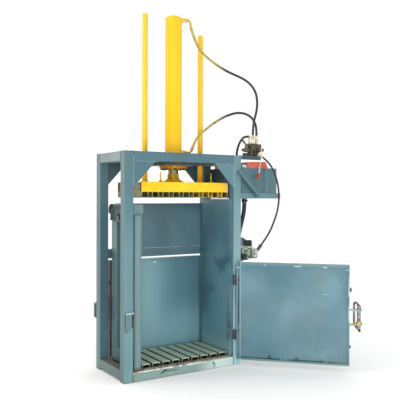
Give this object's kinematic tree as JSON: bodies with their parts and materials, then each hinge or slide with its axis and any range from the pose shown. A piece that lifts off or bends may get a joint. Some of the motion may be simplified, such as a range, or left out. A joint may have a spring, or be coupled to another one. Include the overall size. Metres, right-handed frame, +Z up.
{
  "type": "recycling baler",
  "caption": "Upright hydraulic baler: tube frame, hinged doors with turning locks, sliding platen on guide rods, cylinder, hoses, oil tank and hand valve.",
  "frame": {"origin": "middle of the base on the floor, centred between the four posts", "axes": "+X towards the operator's right, +Y towards the rear, +Z up"},
  "size_m": [1.6412, 1.2607, 2.697],
  "materials": {
    "frame_paint": "satin",
    "dark_paint": "satin",
    "yellow_paint": "gloss",
    "red_paint": "satin",
    "red_grip": "gloss",
    "bare_steel": "satin",
    "black_steel": "black oxide",
    "chrome": "polished",
    "zinc": "zinc plated",
    "cast": "painted casting",
    "cast_light": "as cast",
    "rubber": "matt",
    "white_plastic": "matt"
  },
  "bodies": {
    "frame": {"post_front_left": "frame_paint", "post_front_right": "frame_paint", "post_rear_left": "frame_paint", "post_rear_right": "frame_paint", "beam_top_front": "frame_paint", "beam_top_rear": "frame_paint", "beam_top_left": "frame_paint", "beam_top_right": "frame_paint", "beam_bottom_front": "frame_paint", "beam_bottom_rear": "frame_paint", "beam_bottom_left": "frame_paint", "beam_bottom_right": "frame_paint", "beam_rear_middle": "frame_paint", "corner_gussets": "frame_paint", "crown_channels": "frame_paint", "seat_plate": "frame_paint", "floor_bearer": "frame_paint", "floor_plate": "frame_paint", "floor_bars": "frame_paint", "left_wall": "frame_paint", "left_wall_rail": "frame_paint", "right_wall": "frame_paint", "rear_panel": "frame_paint", "door_keepers": "frame_paint", "tank_shelf": "frame_paint", "oil_tank": "frame_paint", "valve_bracket": "frame_paint", "motor_bracket": "frame_paint", "hinge_knuckles": "dark_paint", "motor": "dark_paint", "terminal_box": "dark_paint", "tank_cover": "red_paint", "tank_plugs": "white_plastic", "valve_body": "cast", "pump": "cast_light", "relief_valve": "zinc", "hose_fittings": "zinc", "cylinder_elbows": "zinc", "cylinder_barrel": "yellow_paint", "cylinder_gland": "yellow_paint", "gland_bolts": "black_steel", "hose_pressure": "rubber", "hose_return": "rubber", "hose_suction": "rubber", "hose_cylinder_top": "rubber", "hose_cylinder_bottom": "rubber"},
    "platen": {"platen_frame": "yellow_paint", "rod_seat": "yellow_paint", "platen_bars": "yellow_paint", "rod_boss": "yellow_paint", "guide_rods": "yellow_paint", "platen_pins": "yellow_paint", "piston_rod": "chrome"},
    "front_door": {"front_door": "frame_paint", "front_door_fittings": "frame_paint"},
    "front_lock": {"front_lock": "bare_steel"},
    "rear_door": {"rear_door": "frame_paint", "rear_door_fittings": "frame_paint"},
    "rear_lock": {"rear_lock": "bare_steel"},
    "valve_lever": {"valve_lever": "red_grip"}
  },
  "joints": [
    {"name": "platen_slide", "type": "slide", "parent": "frame", "child": "platen", "axis": [0, 0, -1], "range_m": [0, 0.9]},
    {"name": "front_door_hinge", "type": "hinge", "parent": "frame", "child": "front_door", "pos_m": [0.426, -0.27, 0], "axis": [0, 0, 1], "range_deg": [-135, 30]},
    {"name": "front_lock_turn", "type": "hinge", "parent": "front_door", "child": "front_lock", "pos_m": [1.11119, -0.90145, 0], "axis": [0, 0, 1], "range_deg": [-238, 0]},
    {"name": "rear_door_hinge", "type": "hinge", "parent": "frame", "child": "rear_door", "pos_m": [0.454, 0.27, 0], "axis": [0, 0, 1], "range_deg": [-135, 0]},
    {"name": "rear_lock_turn", "type": "hinge", "parent": "rear_door", "child": "rear_lock", "pos_m": [-0.451, 0.299, 0], "axis": [0, 0, 1], "range_deg": [-158, 0]},
    {"name": "valve_lever_swing", "type": "hinge", "parent": "frame", "child": "valve_lever", "pos_m": [0.686, -0.275, 1.678], "axis": [0, -1, 0], "range_deg": [-18, 18], "stiffness_Nm_per_rad": 3}
  ]
}
